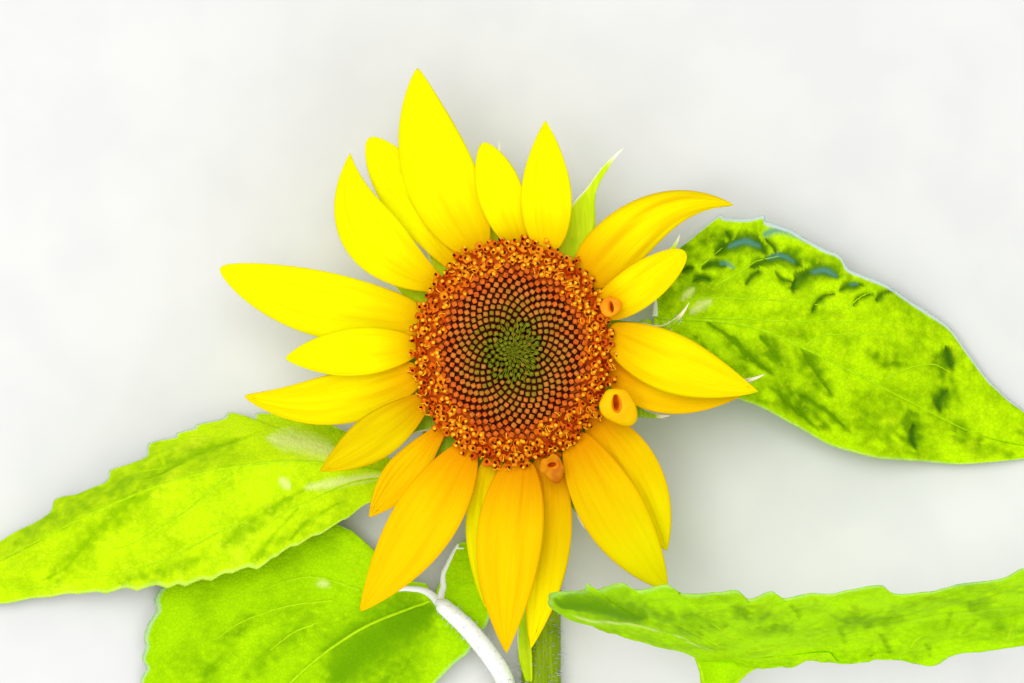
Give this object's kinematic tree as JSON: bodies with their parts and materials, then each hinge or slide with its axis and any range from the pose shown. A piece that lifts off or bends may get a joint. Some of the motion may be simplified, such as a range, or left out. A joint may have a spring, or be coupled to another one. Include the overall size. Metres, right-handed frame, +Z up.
{
  "type": "cut sunflower stem in bloom",
  "caption": "Cut flowering top of a sunflower: one open bloom on its stem with the large leaves below it, lying on its back with the bloom facing up.",
  "frame": {"origin": "middle of the bounding box in plan, on the surface that the plant lies on", "axes": "+Z up, the way the bloom faces; +Y along the stem from its cut end to the bloom; +X to the right of the bloom as seen from above"},
  "size_m": [0.3972, 0.2634, 0.11],
  "materials": {
    "stem": "matt, finely haired green stalk",
    "disc": "dense florets, orange brown outside and olive at the middle",
    "bract": "matt green with pale hairs along the edges",
    "leaf": "fresh green blade with pale veins and a soft sheen",
    "petal": "satin yellow with fine lengthwise grooves"
  },
  "bodies": {
    "root": {"stem": "stem", "disc": "disc", "involucre": "bract", "stem_bract": "bract", "petiole_right": "stem", "petiole_left": "stem", "petiole_low": "stem", "petiole_front": "stem", "leaf_right": "leaf", "leaf_left": "leaf", "leaf_low": "leaf", "leaf_front": "leaf", "ray_01": "petal", "ray_02": "petal", "ray_03": "petal", "ray_04": "petal", "ray_05": "petal", "ray_06": "petal", "ray_07": "petal", "ray_08": "petal", "ray_09": "petal", "ray_10": "petal", "ray_11": "petal", "ray_12": "petal", "ray_13": "petal", "ray_14": "petal", "ray_15": "petal", "ray_16": "petal", "ray_17": "petal", "ray_18": "petal", "ray_19": "petal", "ray_20": "petal", "rolled_ray_1": "petal", "rolled_ray_2": "petal", "rolled_ray_3": "petal"}
  },
  "joints": []
}
